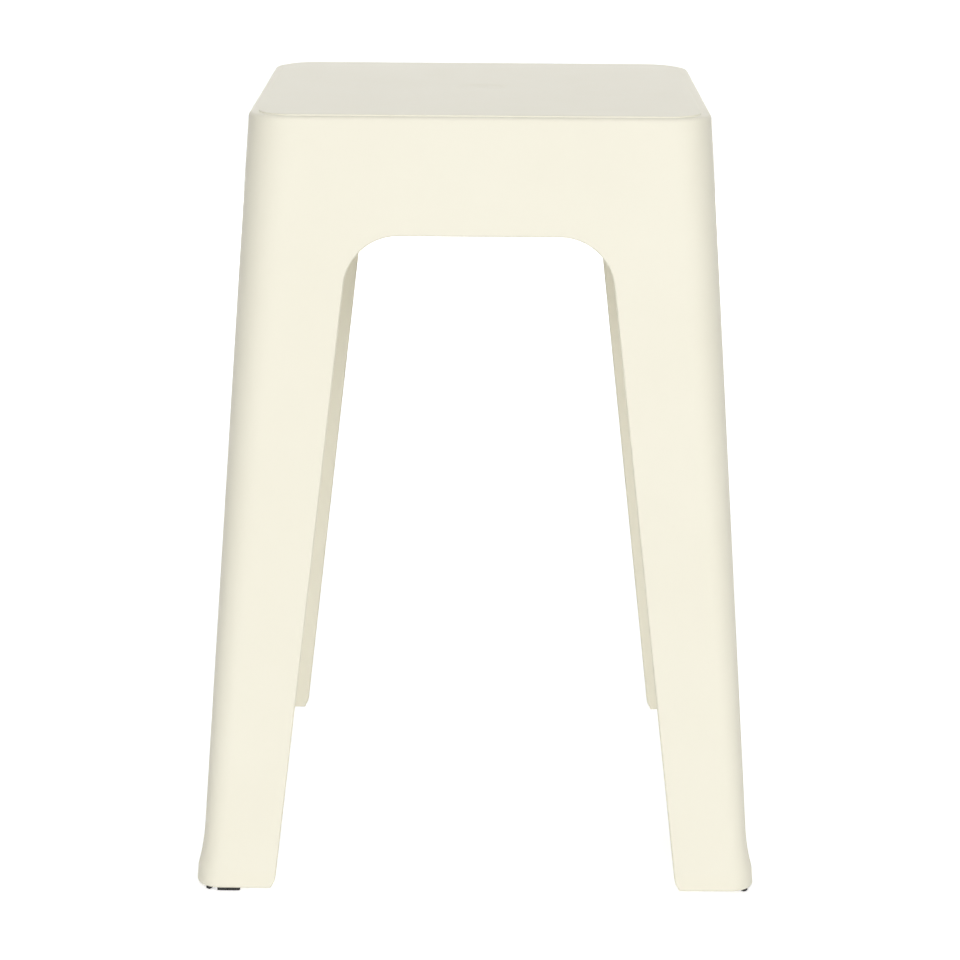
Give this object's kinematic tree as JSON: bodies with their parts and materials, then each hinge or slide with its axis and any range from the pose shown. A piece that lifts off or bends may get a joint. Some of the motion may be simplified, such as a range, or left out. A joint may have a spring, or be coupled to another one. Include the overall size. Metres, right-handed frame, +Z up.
{
  "type": "stacking stool",
  "caption": "Square one-piece moulded plastic stacking stool with tapering sides, arched openings between splayed corner legs and rubber foot pads.",
  "frame": {"origin": "on the floor, under the middle of the seat", "axes": "+Z up through the seat, -Y towards the front, +X to the right seen from the front"},
  "size_m": [0.3266, 0.3266, 0.45],
  "materials": {
    "shell_plastic": "satin, cream",
    "foot_rubber": "matt black"
  },
  "bodies": {
    "root": {"stool_shell": "shell_plastic", "foot_pad_front_left": "foot_rubber", "foot_pad_front_right": "foot_rubber", "foot_pad_rear_left": "foot_rubber", "foot_pad_rear_right": "foot_rubber"}
  },
  "joints": []
}
